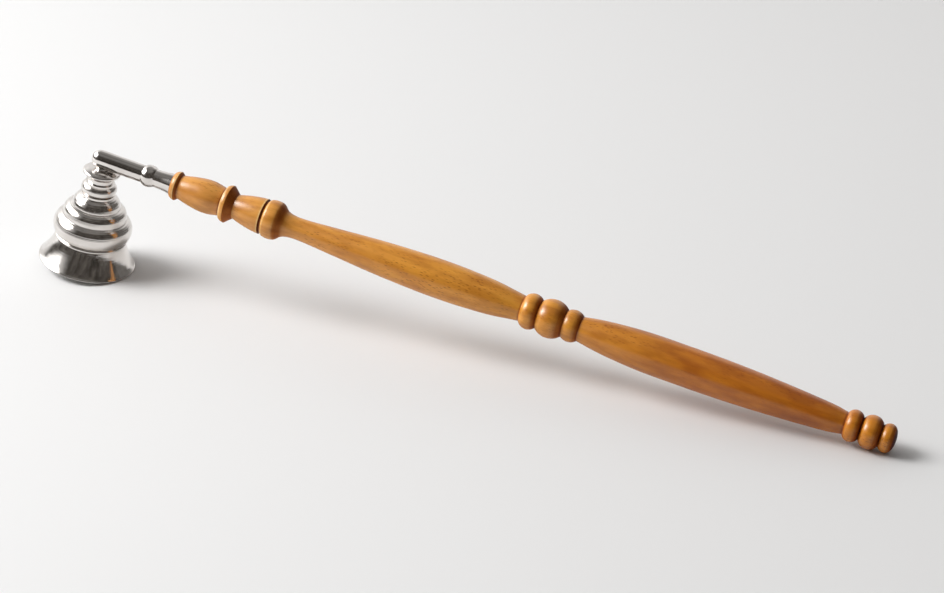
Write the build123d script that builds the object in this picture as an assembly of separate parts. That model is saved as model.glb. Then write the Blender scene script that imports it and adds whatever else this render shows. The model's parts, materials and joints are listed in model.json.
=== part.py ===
from build123d import *
import os
from math import asin, atan2, cos, degrees, hypot, sin

# Candle snuffer: a stepped bell of polished metal under a round arm, on a turned wooden handle.
# It lies as it does on a table, on the lip of the bell and on the last round bead of the handle.
# Millimetres, +Z up. Every piece is first made square: the bell's axis is Z with the lip at 0, and the
# handle runs along +X at axis_height. Then the whole snuffer is tipped until it rests on the table.

# Bell: from the lip up to the seat of the knob
rim_radius = 18.0
lip_round = 0.5
lip_flat = 1.0
lip_step = 0.2
bell_wall = 1.0
skirt_length = 8.6
skirt_hollow = 0.4
waist_radius = 13.0
astragal_length = 1.0
astragal_rise = 0.45
bulge_radius = 14.6
bulge_foot_length = 4.1
bulge_top_length = 4.3
shoulder_radius = 11.85
shoulder_riser = 0.8
shoulder_length = 3.7
crown_radius = 9.05
crown_riser = 0.6
crown_length = 3.6
crown_swell = 0.5
seat_radius = 6.1
seat_riser = 0.7

# Knob: a turned finial whose spigot is pressed into the crown of the bell
spigot_radius = 3.0
knob_foot_radius = 5.5
knob_bead_radius = 6.6
knob_bead_length = 4.2
knob_fillet_radius = 5.3
knob_fillet_length = 0.6
knob_neck_radius = 4.6
knob_neck_length = 1.0
knob_flare_length = 2.2
knob_flare_radius = 6.3
knob_rim_radius = 6.95
knob_rim_length = 1.3
knob_rim_top_radius = 6.55
knob_dome_rise = 0.8
knob_dome_swell = 0.2
boss_radius = 2.3
boss_height = 0.7

# Screw and washers on the bell's axis
screw_radius = 1.5
screw_reach = 1.8
swivel_clearance = 0.05
head_radius = 2.8
head_height = 2.2
head_round = 0.8
driver_slot_width = 0.8
driver_slot_depth = 1.0
washer_clearance = 0.1
flat_washer_radius = 3.5
flat_washer_thickness = 0.5
spring_washer_radius = 3.1
spring_washer_thickness = 0.8
spring_washer_gap = 0.6

# Arm: a round rod with a domed end, a spot face over the knob and a shank for the ferrule
arm_radius = 3.3
arm_end_overhang = 1.3
arm_reach = 16.2
spot_radius = 2.4
spot_depth = 0.55
shank_radius = 1.75
shank_length = 4.0

# Ferrule: a turned bead and a flared collar
ferrule_face_radius = 3.45
ferrule_bead_radius = 4.15
ferrule_bead_length = 4.7
ferrule_neck_radius = 3.3
ferrule_flare_length = 7.1
ferrule_flare_radius = 3.95
ferrule_flare_hollow = 0.1

# Stud between the ferrule and the wood
stud_radius = 2.0
stud_in_ferrule = 5.8
stud_in_handle = 18.0
stud_chamfer = 0.4
bore_relief = 0.2

# Handle: lengths run from the ferrule to the end, radii belong to the named turnings
front_ring_face_length = 2.1
front_ring_back_length = 0.9
front_ring_face_radius = 4.55
front_ring_face_swell = 0.2
front_ring_back_swell = 0.1
front_ring_radius = 5.35
front_groove_length = 0.4
front_groove_radius = 4.5
barrel_length = 16.4
barrel_radius = 6.15
barrel_end_radius = 5.15
collar_face_length = 0.9
collar_face_swell = 0.15
collar_band_length = 1.7
collar_band_radius = 6.65
collar_radius = 6.95
collar_flank_length = 2.6
neck_radius = 4.5
cone_length = 10.9
cone_radius = 6.6
cone_swell = 0.36
score_length = 1.3
score_depth = 0.8
bulb_length = 6.8
bulb_crest_length = 2.2
bulb_radius = 7.2
bulb_end_radius = 4.6
cove_length = 5.3
cove_hollow = 0.2
first_slim_radius = 4.0
first_full_radius = 7.0
first_end_radius = 4.7
first_rise_length = 55.9
first_fall_length = 31.1
mid_ring_length = 6.4
mid_ring_radius = 6.6
mid_ring_groove_radius = 5.2
mid_ball_length = 9.7
mid_ball_radius = 7.07
mid_ball_groove_radius = 5.0
small_ring_length = 6.0
small_ring_radius = 5.87
second_slim_radius = 4.55
second_full_radius = 7.22
second_end_radius = 4.05
second_rise_length = 35.2
second_fall_length = 63.0
end_ring_length = 5.8
end_ring_radius = 5.85
end_groove_radius = 4.0
end_ball_length = 7.2
end_ball_radius = 6.17
button_crest_length = 2.4
button_crest_round = 0.3
button_radius = 5.25
button_edge_length = 2.5
button_cap_radius = 3.6
button_cap_rise = 0.7

# Shares along and across each swelling turning, from slim to full and from full to its end
barrel_full_share = 0.66
barrel_rise_shares = [(0.444, 0.636)]
barrel_fall_shares = [(0.8, 0.7)]
first_rise_shares = [(0.277, 0.33), (0.52, 0.67), (0.75, 0.894)]
first_fall_shares = [(0.38, 0.13), (0.7, 0.44), (0.88, 0.79)]
second_rise_shares = [(0.207, 0.44), (0.45, 0.764), (0.695, 0.96)]
second_fall_shares = [(0.234, 0.02), (0.434, 0.13), (0.622, 0.314), (0.789, 0.527), (0.93, 0.76)]

# How far cutting shapes run past what they cut
overrun = 2.0

# Heights on the bell's axis
lip_seat_radius = rim_radius - lip_round
mouth_radius = lip_seat_radius - lip_flat
lip_top = 2 * lip_round
waist_height = lip_top + skirt_length
bulge_foot = waist_height + astragal_length
bulge_height = bulge_foot + bulge_foot_length
shoulder_foot = bulge_height + bulge_top_length
shoulder_top = shoulder_foot + shoulder_riser
crown_foot = shoulder_top + shoulder_length
crown_top = crown_foot + crown_riser
seat_foot = crown_top + crown_length
seat_top = seat_foot + seat_riser
roof = seat_top - bell_wall
boss_top = (seat_top + knob_bead_length + knob_fillet_length + knob_neck_length + knob_flare_length
            + knob_rim_length + knob_dome_rise + boss_height)
flat_washer_foot = roof - swivel_clearance - flat_washer_thickness
spring_washer_foot = flat_washer_foot - spring_washer_thickness
head_foot = spring_washer_foot - head_height
axis_height = boss_top + swivel_clearance + arm_radius - spot_depth
screw_tip = axis_height + screw_reach

# Where each turning along the handle's axis starts
ferrule_end = arm_reach + ferrule_bead_length + ferrule_flare_length
front_ring_crest = ferrule_end + front_ring_face_length
front_groove_start = front_ring_crest + front_ring_back_length
barrel_start = front_groove_start + front_groove_length
collar_start = barrel_start + barrel_length
collar_band_start = collar_start + collar_face_length
collar_flank_start = collar_band_start + collar_band_length
cone_start = collar_flank_start + collar_flank_length
score_start = cone_start + cone_length
bulb_start = score_start + score_length
cove_start = bulb_start + bulb_length
first_start = cove_start + cove_length
mid_ring_start = first_start + first_rise_length + first_fall_length
mid_ball_start = mid_ring_start + mid_ring_length
small_ring_start = mid_ball_start + mid_ball_length
second_start = small_ring_start + small_ring_length
end_ring_start = second_start + second_rise_length + second_fall_length
end_ball_start = end_ring_start + end_ring_length
button_start = end_ball_start + end_ball_length
button_crest = button_start + button_crest_length
button_cap_start = button_crest + button_edge_length
handle_end = button_cap_start + button_cap_rise


def at(radius, height):
    """A point of a turned outline, in the plane through the axis."""
    return Vector(radius, 0, height)


def path(*points):
    """Straight lines through the points of an outline."""
    return [Line(start, end) for start, end in zip(points, points[1:])]


def bowed(start, end, rise):
    """A shallow arc; a positive rise stands out from the axis on the way up."""
    run = end - start
    side = Vector(run.Z, 0, -run.X).normalized()
    return ThreePointArc(start, (start + end) / 2 + side * rise, end)


def bead(start, length, start_radius, crest_radius, end_radius):
    """A round bead as one arc over its crest."""
    return ThreePointArc(
        at(start_radius, start), at(crest_radius, start + length / 2), at(end_radius, start + length)
    )


def swell(start, rise, fall, slim_radius, full_radius, end_radius, rise_shares, fall_shares):
    """A long swelling turning as one smooth curve over its fullest place."""
    full = start + rise
    points = [at(slim_radius, start)]
    for run_share, width_share in rise_shares:
        points.append(at(slim_radius + width_share * (full_radius - slim_radius), start + run_share * rise))
    points.append(at(full_radius, full))
    for run_share, width_share in fall_shares:
        points.append(at(full_radius - width_share * (full_radius - end_radius), full + run_share * fall))
    points.append(at(end_radius, full + fall))
    return Spline(*points)


def turned(edges):
    """A closed outline spun round the Z axis."""
    return revolve(make_face(edges), Axis.Z)


def upright(radius, foot, top):
    """A round bar on the Z axis between two heights."""
    return Pos(0, 0, (foot + top) / 2) * Cylinder(radius, top - foot)


def along_handle(piece):
    """Lay a piece made upright about Z along the handle's axis."""
    return Pos(0, 0, axis_height) * Rot(0, 90, 0) * piece


def make_bell():
    """The bell: one shell with a full-round lip, a flared skirt, a thin ring, a bulge and two stepped domes."""
    upward = (0, 0, 1)
    downward = (0, 0, -1)
    skirt_foot = at(lip_seat_radius - lip_step, lip_top)
    bulge = at(bulge_radius, bulge_height)
    shoulder = at(shoulder_radius, shoulder_top)
    crown = at(crown_radius, crown_top)
    inner_roof = at(seat_radius - bell_wall, roof)
    inner_crown = at(crown_radius - bell_wall, crown_foot)
    inner_crown_foot = at(crown_radius - bell_wall, crown_foot - bell_wall)
    inner_shoulder = at(shoulder_radius - bell_wall, shoulder_top - bell_wall)
    inner_shoulder_foot = at(shoulder_radius - bell_wall, shoulder_foot - bell_wall)
    inner_bulge = at(bulge_radius - bell_wall, bulge_height)
    inner_bulge_foot = at(waist_radius - bell_wall, bulge_foot)
    inner_waist = at(waist_radius - bell_wall, waist_height)
    outside = [
        Line(at(mouth_radius, 0), at(lip_seat_radius, 0)),
        ThreePointArc(at(lip_seat_radius, 0), at(rim_radius, lip_round), at(lip_seat_radius, lip_top)),
        Line(at(lip_seat_radius, lip_top), skirt_foot),
        bowed(skirt_foot, at(waist_radius, waist_height), -skirt_hollow),
        bead(waist_height, astragal_length, waist_radius, waist_radius + astragal_rise, waist_radius),
        TangentArc(bulge, at(waist_radius, bulge_foot), tangent=downward),
        TangentArc(bulge, at(shoulder_radius, shoulder_foot), tangent=upward),
        Line(at(shoulder_radius, shoulder_foot), shoulder),
        TangentArc(shoulder, at(crown_radius, crown_foot), tangent=upward),
        Line(at(crown_radius, crown_foot), crown),
        bowed(crown, at(seat_radius, seat_foot), crown_swell),
        *path(at(seat_radius, seat_foot), at(seat_radius, seat_top), at(spigot_radius, seat_top)),
    ]
    inside = [
        *path(at(spigot_radius, seat_top), at(spigot_radius, roof), inner_roof),
        bowed(inner_crown, inner_roof, crown_swell),
        Line(inner_crown, inner_crown_foot),
        TangentArc(inner_shoulder, inner_crown_foot, tangent=upward),
        Line(inner_shoulder, inner_shoulder_foot),
        TangentArc(inner_bulge, inner_shoulder_foot, tangent=upward),
        TangentArc(inner_bulge, inner_bulge_foot, tangent=downward),
        Line(inner_bulge_foot, inner_waist),
        bowed(at(mouth_radius, 0), inner_waist, -skirt_hollow),
    ]
    return turned(outside + inside)


def make_knob():
    """The finial: spigot, bead, hollow neck, shallow-domed disc and a boss, bored for the screw."""
    bore_radius = screw_radius + swivel_clearance
    bead_top = seat_top + knob_bead_length
    neck_foot = bead_top + knob_fillet_length
    neck_top = neck_foot + knob_neck_length
    rim_foot = neck_top + knob_flare_length
    rim_top = rim_foot + knob_rim_length
    dome_top = rim_top + knob_dome_rise
    return turned([
        *path(at(bore_radius, roof), at(spigot_radius, roof), at(spigot_radius, seat_top),
              at(knob_foot_radius, seat_top)),
        bead(seat_top, knob_bead_length, knob_foot_radius, knob_bead_radius, knob_fillet_radius),
        *path(at(knob_fillet_radius, bead_top), at(knob_fillet_radius, neck_foot),
              at(knob_neck_radius, neck_foot), at(knob_neck_radius, neck_top)),
        TangentArc(at(knob_neck_radius, neck_top), at(knob_flare_radius, rim_foot), tangent=(0, 0, 1)),
        bead(rim_foot, knob_rim_length, knob_flare_radius, knob_rim_radius, knob_rim_top_radius),
        bowed(at(knob_rim_top_radius, rim_top), at(boss_radius, dome_top), knob_dome_swell),
        *path(at(boss_radius, dome_top), at(boss_radius, boss_top), at(bore_radius, boss_top),
              at(bore_radius, roof)),
    ])


def make_bell_screw():
    """The slotted screw, from inside the bell up into the arm."""
    head = upright(head_radius, head_foot, spring_washer_foot)
    head = fillet(head.edges().filter_by(GeomType.CIRCLE).sort_by(Axis.Z)[0], head_round)
    slot_top = head_foot + driver_slot_depth
    slot = Pos(0, 0, slot_top - overrun / 2) * Box(2 * head_radius + overrun, driver_slot_width, overrun)
    return head - slot + upright(screw_radius, spring_washer_foot, screw_tip)


def make_flat_washer():
    """The plain washer that the crown of the bell turns on."""
    top = flat_washer_foot + flat_washer_thickness
    hole = upright(screw_radius + washer_clearance, flat_washer_foot - overrun, top + overrun)
    return upright(flat_washer_radius, flat_washer_foot, top) - hole


def make_spring_washer():
    """The split washer under the screw's head."""
    hole = upright(screw_radius + washer_clearance, spring_washer_foot - overrun, flat_washer_foot + overrun)
    split = Pos(spring_washer_radius, 0, spring_washer_foot) * Box(
        2 * spring_washer_radius, spring_washer_gap, spring_washer_thickness + overrun
    )
    return upright(spring_washer_radius, spring_washer_foot, flat_washer_foot) - hole - split


def make_arm():
    """The rod: domed end, spot face and tapped hole over the bell, and a shank in the ferrule."""
    spot_face = axis_height - arm_radius + spot_depth
    spot = upright(spot_radius, axis_height - arm_radius - overrun, spot_face)
    tapped = upright(screw_radius, spot_face - overrun, screw_tip + bore_relief)
    rod = upright(arm_radius, -arm_end_overhang, arm_reach) + Pos(0, 0, -arm_end_overhang) * Sphere(arm_radius)
    rod = rod + upright(shank_radius, arm_reach, arm_reach + shank_length)
    return along_handle(rod) - spot - tapped


def make_ferrule():
    """The turned collar: a bead against the arm, then a flare that seats on the wood."""
    bead_end = arm_reach + ferrule_bead_length
    shank_bore = arm_reach + shank_length + bore_relief
    stud_bore = ferrule_end - stud_in_ferrule - bore_relief
    return along_handle(turned([
        Line(at(shank_radius, arm_reach), at(ferrule_face_radius, arm_reach)),
        bead(arm_reach, ferrule_bead_length, ferrule_face_radius, ferrule_bead_radius, ferrule_neck_radius),
        bowed(at(ferrule_neck_radius, bead_end), at(ferrule_flare_radius, ferrule_end), -ferrule_flare_hollow),
        *path(at(ferrule_flare_radius, ferrule_end), at(stud_radius, ferrule_end), at(stud_radius, stud_bore),
              at(0, stud_bore), at(0, shank_bore), at(shank_radius, shank_bore), at(shank_radius, arm_reach)),
    ]))


def make_stud():
    """The steel stud, part in the ferrule and the rest in the wood."""
    rod = upright(stud_radius, ferrule_end - stud_in_ferrule, ferrule_end + stud_in_handle)
    return along_handle(chamfer(rod.edges().filter_by(GeomType.CIRCLE), stud_chamfer))


def make_handle():
    """The handle: one length of hardwood, turned all over and bored for the stud."""
    bore_end = ferrule_end + stud_in_handle + bore_relief
    barrel_rise = barrel_full_share * barrel_length
    front_crest = at(front_ring_radius, front_ring_crest)
    bulb_end = at(bulb_end_radius, cove_start)
    button_cap = at(button_cap_radius, button_cap_start)
    outline = [
        bowed(at(front_ring_face_radius, ferrule_end), front_crest, front_ring_face_swell),
        bowed(front_crest, at(front_groove_radius, front_groove_start), front_ring_back_swell),
        Line(at(front_groove_radius, front_groove_start), at(front_groove_radius, barrel_start)),
        swell(barrel_start, barrel_rise, barrel_length - barrel_rise, front_groove_radius, barrel_radius,
              barrel_end_radius, barrel_rise_shares, barrel_fall_shares),
        bowed(at(barrel_end_radius, collar_start), at(collar_band_radius, collar_band_start), collar_face_swell),
        bead(collar_band_start, collar_band_length, collar_band_radius, collar_radius, collar_band_radius),
        Line(at(collar_band_radius, collar_flank_start), at(neck_radius, cone_start)),
        bowed(at(neck_radius, cone_start), at(cone_radius, score_start), cone_swell),
        bead(score_start, score_length, cone_radius, cone_radius - score_depth, cone_radius),
        ThreePointArc(at(cone_radius, bulb_start), at(bulb_radius, bulb_start + bulb_crest_length), bulb_end),
        bowed(bulb_end, at(first_slim_radius, first_start), -cove_hollow),
        swell(first_start, first_rise_length, first_fall_length, first_slim_radius, first_full_radius,
              first_end_radius, first_rise_shares, first_fall_shares),
        bead(mid_ring_start, mid_ring_length, first_end_radius, mid_ring_radius, mid_ring_groove_radius),
        bead(mid_ball_start, mid_ball_length, mid_ring_groove_radius, mid_ball_radius, mid_ball_groove_radius),
        bead(small_ring_start, small_ring_length, mid_ball_groove_radius, small_ring_radius, second_slim_radius),
        swell(second_start, second_rise_length, second_fall_length, second_slim_radius, second_full_radius,
              second_end_radius, second_rise_shares, second_fall_shares),
        bead(end_ring_start, end_ring_length, second_end_radius, end_ring_radius, end_groove_radius),
        bead(end_ball_start, end_ball_length, end_groove_radius, end_ball_radius, end_groove_radius),
        bowed(at(end_groove_radius, button_start), at(button_radius, button_crest), button_crest_round),
        TangentArc(at(button_radius, button_crest), button_cap, tangent=(0, 0, 1)),
        TangentArc(at(0, handle_end), button_cap, tangent=(1, 0, 0)),
    ]
    bore = path(at(0, handle_end), at(0, bore_end), at(stud_radius, bore_end), at(stud_radius, ferrule_end),
                at(front_ring_face_radius, ferrule_end))
    return along_handle(turned(outline + bore))


nodes = {
    "bell": make_bell(),
    "knob": make_knob(),
    "bell_screw": make_bell_screw(),
    "flat_washer": make_flat_washer(),
    "spring_washer": make_spring_washer(),
    "arm": make_arm(),
    "ferrule": make_ferrule(),
    "handle_stud": make_stud(),
    "handle": make_handle(),
}

# How far the snuffer tips: the table touches the lip's round edge and the last bead's arc
bead_rise = end_ball_radius - end_groove_radius
bead_arc_radius = ((end_ball_length / 2) ** 2 + bead_rise ** 2) / (2 * bead_rise)
contact_run = end_ball_start + end_ball_length / 2 - lip_seat_radius
contact_climb = axis_height - (end_ball_radius - bead_arc_radius) - lip_round
lean = asin((bead_arc_radius - lip_round) / hypot(contact_run, contact_climb))
tip = atan2(contact_climb, contact_run) - lean
table = lip_round * cos(tip) - lip_seat_radius * sin(tip) - lip_round

# On the table: tipped down, lowest point at 0, and centred along X and Y
tipped = Rot(0, degrees(tip), 0)
reach = Compound(children=[tipped * piece for piece in nodes.values()]).bounding_box()
on_table = Pos(-(reach.min.X + reach.max.X) / 2, 0, -table) * tipped

os.makedirs("parts", exist_ok=True)
for name, piece in nodes.items():
    export_step(on_table * piece, f"parts/{name}.step")
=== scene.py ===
import json
import math
import bmesh
import bpy
from mathutils import Matrix, Vector


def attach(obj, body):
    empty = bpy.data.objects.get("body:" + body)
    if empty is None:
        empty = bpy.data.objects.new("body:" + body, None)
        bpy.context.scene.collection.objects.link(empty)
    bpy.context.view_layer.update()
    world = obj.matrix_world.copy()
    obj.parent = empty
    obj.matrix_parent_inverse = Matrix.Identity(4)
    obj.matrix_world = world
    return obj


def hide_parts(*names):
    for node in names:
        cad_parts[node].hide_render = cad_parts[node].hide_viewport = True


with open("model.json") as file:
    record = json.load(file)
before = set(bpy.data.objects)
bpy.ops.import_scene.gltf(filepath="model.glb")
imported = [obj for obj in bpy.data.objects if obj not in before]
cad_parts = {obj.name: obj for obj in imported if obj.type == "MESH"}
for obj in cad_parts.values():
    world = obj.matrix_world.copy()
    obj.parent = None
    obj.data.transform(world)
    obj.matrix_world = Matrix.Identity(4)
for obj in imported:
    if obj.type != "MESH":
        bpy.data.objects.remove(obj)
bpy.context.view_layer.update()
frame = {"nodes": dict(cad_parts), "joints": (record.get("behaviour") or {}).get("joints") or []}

# The handle is one length of beech, turned between centres with beads, a scored line and two long
# swells. It is stained honey brown and lacquered to a gloss. A blind hole in its front end takes the
# stud that carries the metal parts.
mm_per_metre = 1000
seat_height = 28.4
axis_height = 42.0
handle_end = 303.2
swivel = frame["joints"][0]
bell_axis = Vector(swivel["axis"])
lip_centre = Vector(swivel["pos_m"]) - bell_axis * (seat_height / mm_per_metre)
tip = math.atan2(bell_axis.x, bell_axis.z)
upright = (Matrix.Translation(lip_centre) @ Matrix.Rotation(tip, 4, "Y")
           @ Matrix.Scale(1 / mm_per_metre, 4))
quarter_turn = math.pi / 2
along = upright @ Matrix.Translation((0, 0, axis_height)) @ Matrix.Rotation(quarter_turn, 4, "Y")
arm_cross = along.translation


def outline_mesh(name, points, closed):
    """Draw the outline of a turned piece as a curve and give it as a mesh.

    Each point has a radius, a height along the axis and a kind: c for a corner, s for a smooth place.
    """
    curve = bpy.data.curves.new(name + "_outline", "CURVE")
    curve.dimensions = "3D"
    curve.resolution_u = 8
    spline = curve.splines.new("BEZIER")
    spline.bezier_points.add(len(points) - 1)
    spline.use_cyclic_u = closed
    for point, (radius, height, kind) in zip(spline.bezier_points, points):
        bend = "VECTOR" if kind == "c" else "AUTO"
        point.handle_left_type = bend
        point.handle_right_type = bend
        point.co = (radius, 0, height)
    drawn = bpy.data.objects.new(name + "_outline", curve)
    mesh = bpy.data.meshes.new_from_object(drawn)
    bpy.data.objects.remove(drawn)
    bpy.data.curves.remove(curve)
    return mesh


def turn(name, points, place, closed=False):
    """Spin an outline round its axis, in millimetres, and put the turned piece in its place."""
    facets = 96
    weld_gap = 0.002
    crease_angle = math.radians(38)
    drawn = outline_mesh(name, points, closed)
    bm = bmesh.new()
    bm.from_mesh(drawn)
    bpy.data.meshes.remove(drawn)
    bmesh.ops.spin(bm, geom=bm.verts[:] + bm.edges[:], cent=(0, 0, 0), axis=(0, 0, 1),
                   angle=2 * math.pi, steps=facets, use_merge=True)
    bmesh.ops.remove_doubles(bm, verts=bm.verts[:], dist=weld_gap)
    bmesh.ops.recalc_face_normals(bm, faces=bm.faces[:])
    bmesh.ops.transform(bm, matrix=place, verts=bm.verts[:])
    mesh = bpy.data.meshes.new(name)
    bm.to_mesh(mesh)
    bm.free()
    for face in mesh.polygons:
        face.use_smooth = True
    mesh.set_sharp_from_angle(angle=crease_angle)
    piece = bpy.data.objects.new(name, mesh)
    bpy.context.scene.collection.objects.link(piece)
    return piece


def mark_relief(piece, place, reach, bore_radius):
    """Store how far each point of a turned piece stands above the mean radius near it, in millimetres.

    Near is within reach along the axis. Points in the bore are not counted.
    """
    rows_per_mm = 4
    unplaced = place.inverted()
    spots = [unplaced @ vertex.co for vertex in piece.data.vertices]
    rows = {}
    for spot in spots:
        radius = math.hypot(spot.x, spot.y)
        if radius > bore_radius:
            row = round(spot.z * rows_per_mm)
            rows[row] = max(radius, rows.get(row, 0))
    relief = piece.data.attributes.new("relief", "FLOAT", "POINT")
    for mark, spot in zip(relief.data, spots):
        row = round(spot.z * rows_per_mm)
        span = range(row - reach * rows_per_mm, row + reach * rows_per_mm + 1)
        near = [rows[other] for other in span if other in rows]
        mark.value = math.hypot(spot.x, spot.y) - sum(near) / len(near) if near else 0


def new_finish(name, foot, lean):
    """A material, its nodes and shader, and coordinates whose Z runs along a turned piece from its foot."""
    finish = bpy.data.materials.new(name)
    finish.use_nodes = True
    tree = finish.node_tree
    place = tree.nodes.new("ShaderNodeTexCoord")
    lined_up = tree.nodes.new("ShaderNodeMapping")
    lined_up.vector_type = "TEXTURE"
    lined_up.inputs["Location"].default_value = foot
    lined_up.inputs["Rotation"].default_value = (0, lean, 0)
    tree.links.new(place.outputs["Object"], lined_up.inputs["Vector"])
    return finish, tree, tree.nodes["Principled BSDF"], lined_up.outputs["Vector"]


def coordinate(tree, vector, axis):
    """One coordinate of a vector."""
    parts = tree.nodes.new("ShaderNodeSeparateXYZ")
    tree.links.new(vector, parts.inputs[0])
    return parts.outputs[axis]


def vector_step(tree, operation, vector, other=None):
    """One step of vector arithmetic, with a fixed second vector where it needs one."""
    step = tree.nodes.new("ShaderNodeVectorMath")
    step.operation = operation
    tree.links.new(vector, step.inputs[0])
    if other is not None:
        step.inputs[1].default_value = other
    return step.outputs


def share_between(tree, value, start, end):
    """How far a value has come from start to end, from 0 to 1."""
    share = tree.nodes.new("ShaderNodeMapRange")
    share.inputs["From Min"].default_value = start
    share.inputs["From Max"].default_value = end
    tree.links.new(value, share.inputs["Value"])
    return share.outputs["Result"]


def drawn_out(tree, vector, stretch):
    """Coordinates in which a pattern changes as many times in a metre, each way, as stretch says."""
    scaled = tree.nodes.new("ShaderNodeMapping")
    scaled.inputs["Scale"].default_value = stretch
    tree.links.new(vector, scaled.inputs["Vector"])
    return scaled.outputs["Vector"]


def grain(tree, vector, stretch, detail):
    """Noise, drawn out along the axis where stretch is least."""
    noise = tree.nodes.new("ShaderNodeTexNoise")
    noise.inputs["Scale"].default_value = 1.0
    noise.inputs["Detail"].default_value = detail
    tree.links.new(drawn_out(tree, vector, stretch), noise.inputs["Vector"])
    return noise.outputs["Fac"]


def ramp(tree, value, stops):
    """Colours along a value from 0 to 1. A single number is a grey."""
    band = tree.nodes.new("ShaderNodeValToRGB")
    while len(band.color_ramp.elements) < len(stops):
        band.color_ramp.elements.new(0.5)
    for element, (position, colour) in zip(band.color_ramp.elements, stops):
        red, green, blue = colour if isinstance(colour, tuple) else (colour, colour, colour)
        element.position = position
        element.color = (red, green, blue, 1)
    tree.links.new(value, band.inputs["Fac"])
    return band.outputs["Color"]


def multiplied(tree, first, second, share=None):
    """One colour pattern darkened by another, fully or by a share that varies over the surface."""
    mix = tree.nodes.new("ShaderNodeMix")
    mix.data_type = "RGBA"
    mix.blend_type = "MULTIPLY"
    mix.inputs["Factor"].default_value = 1.0
    if share is not None:
        tree.links.new(share, mix.inputs["Factor"])
    tree.links.new(first, mix.inputs["A"])
    tree.links.new(second, mix.inputs["B"])
    return mix.outputs["Result"]


white = 1.0
lacquered_beech, tree, shader, vector = new_finish("lacquered_beech", arm_cross, tip + quarter_turn)
streaks = ramp(tree, grain(tree, vector, (420, 420, 60), 5), [
    (0.3, (0.77, 0.405, 0.1)), (0.5, (0.85, 0.47, 0.122)), (0.7, (0.92, 0.54, 0.16))])
slow = ramp(tree, grain(tree, vector, (70, 70, 14), 2), [(0.3, (0.86, 0.8, 0.72)), (0.7, white)])
blotches = ramp(tree, grain(tree, vector, (330, 330, 85), 3), [(0.36, (0.77, 0.69, 0.58)), (0.6, white)])

# The stain is deeper towards the handle's end.
handle_share = share_between(tree, coordinate(tree, vector, "Z"), 0, handle_end / mm_per_metre)
depth = ramp(tree, handle_share, [
    (0.13, (0.97, 0.9, 0.98)), (0.25, (0.97, 0.88, 0.8)), (0.4, (0.96, 0.83, 0.5)),
    (0.6, (0.9, 0.76, 0.44)), (0.76, (0.72, 0.46, 0.14)), (0.9, (0.62, 0.36, 0.06)),
    (0.97, (0.82, 0.6, 0.2))])

# Darker in the hollows and paler on the crests: partly stain that gathers in the hollows and wears thin on
# the crests, partly painted shade in the hollows and a painted highlight on the crests.
standing = tree.nodes.new("ShaderNodeAttribute")
standing.attribute_name = "relief"
hollow_shade_and_crest_highlight = ramp(tree, share_between(tree, standing.outputs["Fac"], -1.0, 1.0), [
    (0.1, (0.32, 0.16, 0.065)), (0.32, (0.6, 0.42, 0.24)), (0.46, (0.95, 0.85, 0.62)),
    (0.53, (0.95, 0.85, 0.62)), (0.6, (1.08, 1.38, 2.0))])
# The wood's colour, with the painted shade and painted highlight of the relief multiplied in.
stain_and_shade = streaks
for layer in (slow, blotches, depth, hollow_shade_and_crest_highlight):
    stain_and_shade = multiplied(tree, stain_and_shade, layer)

# Short dark flecks gather in clusters, as beech shows them.
flecks = tree.nodes.new("ShaderNodeTexVoronoi")
flecks.inputs["Scale"].default_value = 1.0
tree.links.new(drawn_out(tree, vector, (1700, 1700, 420)), flecks.inputs["Vector"])
rays = ramp(tree, flecks.outputs["Distance"], [(0.14, (0.5, 0.35, 0.24)), (0.36, white), (1.0, white)])
clusters = ramp(tree, grain(tree, vector, (90, 90, 40), 2), [(0.46, 0.08), (0.66, 0.95)])
flecked = multiplied(tree, stain_and_shade, rays, clusters)

# Faces turned towards the handle's end are darker: partly end grain, which drinks more stain, and partly
# painted shade on the flanks turned away from the light. They also take little lacquer.
surface = tree.nodes.new("ShaderNodeTexCoord")
handle_way = (math.cos(tip), 0, -math.sin(tip))
facing_along = vector_step(tree, "DOT_PRODUCT", surface.outputs["Normal"], handle_way)["Value"]
end_grain_and_flank_shade = ramp(tree, facing_along, [
    (0.2, white), (0.5, (0.62, 0.46, 0.35)), (0.66, (0.52, 0.35, 0.25)), (0.9, (0.28, 0.15, 0.09))])
tree.links.new(multiplied(tree, flecked, end_grain_and_flank_shade), shader.inputs["Base Color"])
tree.links.new(ramp(tree, facing_along, [(0.3, 0.55), (0.55, 0.04)]), shader.inputs["Coat Weight"])
pores = tree.nodes.new("ShaderNodeBump")
pores.inputs["Strength"].default_value = 0.06
pores.inputs["Distance"].default_value = 0.0002
tree.links.new(grain(tree, vector, (1900, 1900, 260), 2), pores.inputs["Height"])
tree.links.new(pores.outputs["Normal"], shader.inputs["Normal"])
shader.inputs["Roughness"].default_value = 0.5
shader.inputs["Specular IOR Level"].default_value = 0.08
shader.inputs["Coat Roughness"].default_value = 0.26
shader.inputs["Coat IOR"].default_value = 1.8

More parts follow.
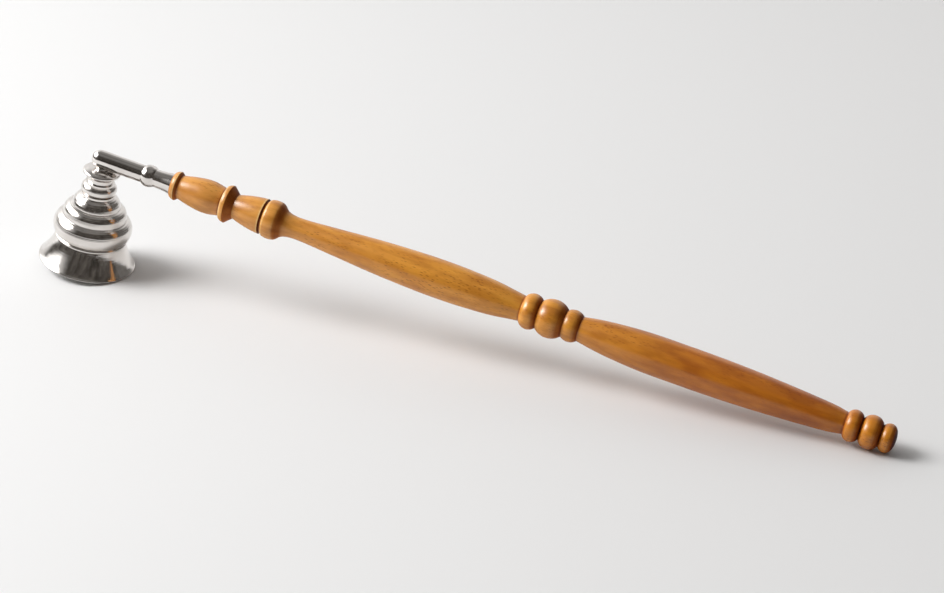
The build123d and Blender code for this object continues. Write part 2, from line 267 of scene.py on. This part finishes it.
handle = turn("turned_handle", [
    (0, 46.2, "c"), (2.0, 46.2, "c"), (2.0, 28.0, "c"), (4.55, 28.0, "c"), (4.96, 28.45, "s"),
    (5.22, 28.95, "s"), (5.36, 29.5, "s"), (5.4, 29.9, "c"), (4.88, 30.55, "s"), (4.5, 31.0, "c"),
    (4.5, 31.4, "c"), (5.55, 36.2, "s"), (6.15, 42.2, "s"), (5.45, 46.7, "s"), (5.15, 47.95, "c"),
    (6.4, 48.4, "c"), (6.8, 49.1, "s"), (6.97, 49.8, "s"), (7.0, 50.2, "c"), (4.5, 53.0, "c"),
    (5.27, 55.7, "s"), (5.95, 58.7, "s"), (6.39, 61.5, "s"), (6.6, 63.9, "c"), (5.8, 64.5, "s"),
    (6.5, 64.95, "c"), (6.88, 65.5, "s"), (7.1, 66.42, "s"), (7.2, 67.9, "s"), (7.02, 69.3, "s"),
    (6.8, 69.85, "s"), (6.3, 70.55, "s"), (5.55, 71.35, "s"), (4.88, 72.3, "s"), (4.42, 73.6, "s"),
    (4.14, 75.2, "s"), (4.0, 77.3, "s"), (4.99, 92.8, "s"), (6.01, 106.4, "s"), (6.68, 119.2, "s"),
    (7.0, 133.2, "s"), (6.7, 145.0, "s"), (5.99, 155.0, "s"), (5.18, 160.6, "s"), (4.7, 164.3, "c"),
    (5.65, 165.1, "s"), (6.3, 166.16, "s"), (6.59, 167.37, "s"), (6.49, 168.61, "s"), (6.01, 169.76, "s"),
    (5.2, 170.7, "c"), (6.24, 172.15, "s"), (6.88, 173.82, "s"), (7.07, 175.59, "s"), (6.8, 177.36, "s"),
    (6.1, 178.99, "s"), (5.0, 180.4, "c"), (5.53, 181.35, "s"), (5.82, 182.4, "s"), (5.87, 183.48, "s"),
    (5.66, 184.55, "s"), (5.21, 185.54, "s"), (4.55, 186.4, "c"), (5.73, 193.7, "s"), (6.59, 202.2, "s"),
    (7.11, 210.9, "s"), (7.2, 221.6, "s"), (7.14, 236.3, "s"), (6.81, 248.9, "s"), (6.22, 260.8, "s"),
    (5.55, 271.3, "s"), (4.81, 280.2, "s"), (4.05, 284.6, "c"), (5.01, 285.32, "s"), (5.64, 286.34, "s"),
    (5.85, 287.52, "s"), (5.62, 288.69, "s"), (4.97, 289.7, "s"), (4.0, 290.4, "c"), (5.15, 291.31, "s"),
    (5.9, 292.56, "s"), (6.15, 294.0, "s"), (5.9, 295.44, "s"), (5.15, 296.69, "s"), (4.0, 297.6, "c"),
    (4.85, 298.6, "s"), (5.25, 300.0, "s"), (4.75, 301.6, "s"), (3.6, 302.5, "s"), (2.0, 303.0, "s"),
    (0, handle_end, "c"),
], along)
mark_relief(handle, along, reach=1, bore_radius=2.6)
handle.data.materials.append(lacquered_beech)
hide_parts("handle")
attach(handle, "handle_body")

# The stud is a plain steel rod, screwed into the ferrule and glued into the wood.
# It is hidden once the snuffer is together.
plain_steel, tree, shader, vector = new_finish("plain_steel", lip_centre, tip)
turning_marks = grain(tree, vector, (700, 700, 5200), 2)
tree.links.new(ramp(tree, turning_marks, [(0.3, 0.36), (0.7, (0.56, 0.55, 0.54))]),
               shader.inputs["Base Color"])
tree.links.new(ramp(tree, turning_marks, [(0.3, 0.24), (0.7, 0.4)]), shader.inputs["Roughness"])
shader.inputs["Metallic"].default_value = 1.0


def dress_in_steel(node):
    """Give a hidden fixing its plain steel finish."""
    frame["nodes"][node].data.materials.clear()
    frame["nodes"][node].data.materials.append(plain_steel)


dress_in_steel("handle_stud")


# The ferrule is turned brass, plated and polished: a bead, then a collar that flares to the wood.
# The stud holds it against the handle, and the arm's shank is pressed into its front.
def polished_metal(name, foot, lean, blur, ring_depths, waver_depth):
    """Plated metal, buffed as it turned: faint rings round its axis and a slight waver in its shine.

    The rings have one depth near the foot and another farther along, as on the bell above its skirt.
    """
    least_blur, most_blur = blur
    low_depth, high_depth = ring_depths
    finish, tree, shader, vector = new_finish(name, foot, lean)
    tree.links.new(ramp(tree, grain(tree, vector, (160, 160, 160), 3), [
        (0.35, (0.68, 0.645, 0.615)), (0.65, (0.77, 0.74, 0.71))]), shader.inputs["Base Color"])
    tree.links.new(ramp(tree, grain(tree, vector, (900, 900, 900), 4), [
        (0.35, least_blur), (0.7, most_blur)]), shader.inputs["Roughness"])
    height = coordinate(tree, vector, "Z")
    across = vector_step(tree, "MULTIPLY", vector, (1, 1, 0))["Vector"]
    round_axis = tree.nodes.new("ShaderNodeCombineXYZ")
    tree.links.new(vector_step(tree, "LENGTH", across)["Value"], round_axis.inputs["X"])
    tree.links.new(height, round_axis.inputs["Z"])
    rings = tree.nodes.new("ShaderNodeBump")
    rings.inputs["Distance"].default_value = 0.00025
    tree.links.new(ramp(tree, share_between(tree, height, 0, 0.02), [
        (0.47, low_depth), (0.55, high_depth)]), rings.inputs["Strength"])
    tree.links.new(grain(tree, round_axis.outputs["Vector"], (1400, 1400, 1400), 3), rings.inputs["Height"])
    waver = tree.nodes.new("ShaderNodeBump")
    waver.inputs["Strength"].default_value = waver_depth
    waver.inputs["Distance"].default_value = 0.0004
    tree.links.new(grain(tree, vector, (300, 300, 300), 2), waver.inputs["Height"])
    tree.links.new(rings.outputs["Normal"], waver.inputs["Normal"])
    tree.links.new(waver.outputs["Normal"], shader.inputs["Normal"])
    shader.inputs["Metallic"].default_value = 1.0
    return finish


polished_rod = polished_metal("polished_rod", arm_cross, tip + quarter_turn, blur=(0.06, 0.13),
                              ring_depths=(0.05, 0.08), waver_depth=0.1)
ferrule = turn("flared_ferrule", [
    (0, 20.4, "c"), (1.75, 20.4, "c"), (1.75, 16.2, "c"), (3.45, 16.2, "c"), (3.85, 16.94, "s"),
    (4.09, 17.74, "s"), (4.15, 18.57, "s"), (4.03, 19.4, "s"), (3.75, 20.19, "s"), (3.3, 20.9, "c"),
    (3.52, 24.46, "s"), (3.95, 28.0, "c"), (2.0, 28.0, "c"), (2.0, 22.0, "c"), (0, 22.0, "c"),
], along)
ferrule.data.materials.append(polished_rod)
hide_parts("ferrule")
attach(ferrule, "handle_body")

# The arm is a round rod with a domed end, plated like the bell. It is spot-faced and tapped from below
# for the bell's screw, and its thin shank sits in the ferrule.
arm = turn("round_arm", [
    (0, -4.6, "s"), (0.57, -4.55, "s"), (1.4, -4.29, "s"), (2.33, -3.63, "s"), (2.99, -2.7, "s"),
    (3.24, -1.87, "s"), (3.29, -1.3, "s"), (3.29, -0.9, "s"), (3.29, 16.2, "c"), (1.75, 16.2, "c"),
    (1.75, 20.2, "c"), (0, 20.2, "c"),
], along)
spot_drill = turn("spot_drill", [
    (0, 36.0, "c"), (2.4, 36.0, "c"), (2.4, 39.25, "c"), (1.5, 39.25, "c"), (1.5, 44.0, "c"), (0, 44.0, "c"),
], upright)
cut = arm.modifiers.new("spot_face", "BOOLEAN")
cut.operation = "DIFFERENCE"
cut.solver = "EXACT"
cut.object = spot_drill
bpy.context.view_layer.update()
drilled = bpy.data.meshes.new_from_object(arm.evaluated_get(bpy.context.evaluated_depsgraph_get()))
arm.modifiers.clear()
arm.data = drilled
arm.data.name = "round_arm"
bpy.data.objects.remove(spot_drill)
arm.data.materials.clear()
arm.data.materials.append(polished_rod)
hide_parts("arm")
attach(arm, "handle_body")

# The bell is one spun shell, plated and polished inside and out, with a plain flared edge, a hollow
# skirt, a thin ring, a bulge and two stepped domes. The knob's spigot is pressed through its crown.
polished_bell = polished_metal("polished_bell", lip_centre, tip, blur=(0.09, 0.18),
                               ring_depths=(0.1, 0.62), waver_depth=0.05)
bell = turn("stepped_bell", [
    (16.5, 0.02, "c"), (17.6, 0.02, "c"), (17.86, 0.1, "s"), (17.96, 0.3, "s"), (17.88, 0.46, "c"),
    (17.3, 1.06, "s"), (15.96, 3.02, "s"), (14.79, 5.12, "s"), (13.81, 7.32, "s"), (13.0, 9.6, "c"),
    (13.3, 9.74, "s"), (13.45, 10.1, "s"), (13.3, 10.46, "s"), (13.0, 10.6, "c"),
    (13.87, 11.82, "s"), (14.42, 13.22, "s"), (14.6, 14.7, "s"), (14.26, 16.45, "s"), (13.3, 17.96, "s"),
    (11.85, 19.0, "c"), (11.85, 19.4, "s"), (11.85, 19.8, "s"), (11.5, 21.41, "s"), (10.5, 22.72, "s"),
    (9.05, 23.5, "c"), (9.05, 24.1, "c"), (8.6, 25.24, "s"), (7.96, 26.22, "s"), (7.13, 27.04, "s"),
    (6.1, 27.7, "c"), (6.1, seat_height, "c"), (3.0, seat_height, "c"), (3.0, 27.4, "c"), (5.1, 27.4, "c"),
    (6.14, 26.65, "s"), (6.97, 25.75, "s"), (7.61, 24.7, "s"), (8.05, 23.5, "c"), (8.05, 22.5, "c"),
    (9.5, 21.72, "s"), (10.5, 20.41, "s"), (10.85, 18.8, "s"), (10.85, 18.4, "s"), (10.85, 18.0, "c"),
    (12.26, 17.38, "s"), (13.25, 16.2, "s"), (13.6, 14.7, "s"), (13.42, 13.22, "s"), (12.87, 11.82, "s"),
    (12.0, 10.6, "c"), (12.0, 9.6, "c"), (12.85, 7.07, "s"), (13.89, 4.63, "s"), (15.1, 2.27, "s"),
], upright, closed=True)
bell.data.materials.append(polished_bell)
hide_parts("bell")
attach(bell, "bell_head")

# The knob is turned and plated: a spigot in the crown, a bead, a hollow neck and a shallow-domed disc.
# Its boss meets the arm, and the screw passes through its bore.
knob = turn("turned_knob", [
    (1.55, 27.4, "c"), (3.0, 27.4, "c"), (3.0, seat_height, "c"), (5.5, seat_height, "c"),
    (6.11, 28.98, "s"), (6.49, 29.72, "s"), (6.6, 30.56, "s"), (6.41, 31.38, "s"), (5.96, 32.09, "s"),
    (5.3, 32.6, "c"), (5.3, 33.2, "c"), (4.6, 33.2, "c"), (4.6, 33.7, "s"), (4.6, 34.2, "s"),
    (4.81, 35.16, "s"), (5.41, 35.94, "s"), (6.3, 36.4, "c"), (6.72, 36.57, "s"), (6.94, 36.95, "s"),
    (6.87, 37.39, "s"), (6.55, 37.7, "c"), (4.46, 38.3, "s"), (2.3, 38.5, "c"), (2.3, 39.2, "c"),
    (1.55, 39.2, "c"),
], upright, closed=True)
knob.data.materials.append(polished_bell)
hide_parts("knob")
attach(knob, "bell_head")

# The screw and its two washers are plain steel. They sit inside the bell, under the crown, and the
# screw runs up into the arm.
for fixing in ("bell_screw", "flat_washer", "spring_washer"):
    dress_in_steel(fixing)

# The table is a broad sweep of smooth pale paper, as a studio lays it.
# It only carries the snuffer and is no part of it.
bm = bmesh.new()
bmesh.ops.create_grid(bm, x_segments=8, y_segments=8, size=3.0)
sheet_mesh = bpy.data.meshes.new("pale_paper")
bm.to_mesh(sheet_mesh)
bm.free()
pale_paper = bpy.data.objects.new("pale_paper", sheet_mesh)
bpy.context.scene.collection.objects.link(pale_paper)
paper, tree, shader, vector = new_finish("pale_paper", (0, 0, 0), 0)
# Painted light: the paper is made darker towards the front and paler towards the back, standing in for the
# light's fall-off across it.
tree.links.new(ramp(tree, coordinate(tree, vector, "Y"), [(0, 0.8), (0.5, 0.865)]),
               shader.inputs["Base Color"])
shader.inputs["Roughness"].default_value = 0.7
shader.inputs["Specular IOR Level"].default_value = 0.2
pale_paper.data.materials.append(paper)


# The light is one large soft box at the left, bright in its middle and fading to its rim, with a glow
# round it. The room is dim in front and overhead, and pale behind. The camera looks down along the
# photograph's line of sight, a little turned about it.
def fade(tree, value, start, end, low, high):
    """A smooth change of brightness, from low to high, as a value goes from start to end."""
    change = tree.nodes.new("ShaderNodeMapRange")
    change.interpolation_type = "SMOOTHSTEP"
    for name, number in zip(("From Min", "From Max", "To Min", "To Max"), (start, end, low, high)):
        change.inputs[name].default_value = number
    tree.links.new(value, change.inputs["Value"])
    return change.outputs["Result"]


key_place = Vector((-0.96, -0.256, 0.76))
key_side = 0.95
lamp = bpy.data.lights.new("key_box", "AREA")
lamp.shape = "RECTANGLE"
lamp.size = key_side
lamp.size_y = key_side
lamp.energy = 46.5
lamp.use_nodes = True
tree = lamp.node_tree
spot = tree.nodes.new("ShaderNodeNewGeometry")
from_middle = vector_step(tree, "DISTANCE", spot.outputs["Parametric"], (0.5, 0.5, 0))["Value"]
tree.links.new(fade(tree, from_middle, 0.1, 0.5, 1.0, 0.0), tree.nodes["Emission"].inputs["Strength"])
key_box = bpy.data.objects.new("key_box", lamp)
key_box.location = key_place
key_box.rotation_euler = (-key_place).to_track_quat("-Z", "Y").to_euler()
bpy.context.scene.collection.objects.link(key_box)

room = bpy.data.worlds.new("dim_room")
room.use_nodes = True
tree = room.node_tree
ways = tree.nodes.new("ShaderNodeTexCoord").outputs["Generated"]
rightwards, backwards, upwards = [coordinate(tree, ways, axis) for axis in ("X", "Y", "Z")]


def joined(operation, first, second):
    """Two brightnesses of the room added or multiplied."""
    both = tree.nodes.new("ShaderNodeMath")
    both.operation = operation
    tree.links.new(first, both.inputs[0])
    tree.links.new(second, both.inputs[1])
    return both.outputs["Value"]


wall_reach = joined("MULTIPLY", fade(tree, upwards, 0.5, 0.9, 1.0, 0.1),
                    fade(tree, rightwards, 0.15, 0.6, 1.0, 0.08))
pale_wall = joined("MULTIPLY", fade(tree, backwards, 0.12, 0.46, 0.0, 0.85), wall_reach)
ceiling = fade(tree, upwards, 0.7, 0.96, 0.0, 0.13)
level_way = vector_step(tree, "MULTIPLY", ways, (1, 1, 0))["Vector"]
unit_way = vector_step(tree, "NORMALIZE", level_way)["Vector"]
towards_key = vector_step(tree, "DOT_PRODUCT", unit_way, (-0.996, -0.09, 0))["Value"]
glow_breadth = joined("ADD", fade(tree, towards_key, 0.76, 0.94, 0.0, 2.0),
                      fade(tree, towards_key, 0.45, 0.86, 0.0, 0.6))
glow_height = joined("MULTIPLY", fade(tree, upwards, 0.18, 0.42, 0.0, 1.0),
                     fade(tree, upwards, 0.68, 0.86, 1.0, 0.0))
key_glow = joined("MULTIPLY", glow_breadth, glow_height)
lit_part = tree.nodes["Background"]
tree.links.new(joined("ADD", joined("ADD", pale_wall, ceiling), key_glow), lit_part.inputs["Color"])
dim_part = tree.nodes.new("ShaderNodeBackground")
tree.links.new(ramp(tree, grain(tree, ways, (6, 6, 0.6), 2), [
    (0.36, (0.036, 0.032, 0.028)), (0.66, (0.13, 0.118, 0.107))]), dim_part.inputs["Color"])
whole_room = tree.nodes.new("ShaderNodeAddShader")
tree.links.new(lit_part.outputs["Background"], whole_room.inputs[0])
tree.links.new(dim_part.outputs["Background"], whole_room.inputs[1])
tree.links.new(whole_room.outputs["Shader"], tree.nodes["World Output"].inputs["Surface"])
bpy.context.scene.world = room
bpy.context.scene.view_settings.view_transform = "Standard"

lens = bpy.data.cameras.new("camera")
lens.lens = 105
lens.sensor_width = 36
lens.clip_start = 0.01
camera = bpy.data.objects.new("camera", lens)
look = Vector((-0.23996, 0.86214, -0.44624)).normalized()
level = look.cross(Vector((0, 0, 1))).normalized()
above = level.cross(look)
roll = math.radians(5.837)
right = level * math.cos(roll) + above * math.sin(roll)
up = above * math.cos(roll) - level * math.sin(roll)
facing = Matrix((right, up, -look)).transposed().to_4x4()
stand = Vector((arm_cross.x + 0.3794, -0.84537, 0.4605))
camera.matrix_world = Matrix.Translation(stand) @ facing
bpy.context.scene.collection.objects.link(camera)
bpy.context.scene.camera = camera

bpy.context.view_layer.update()
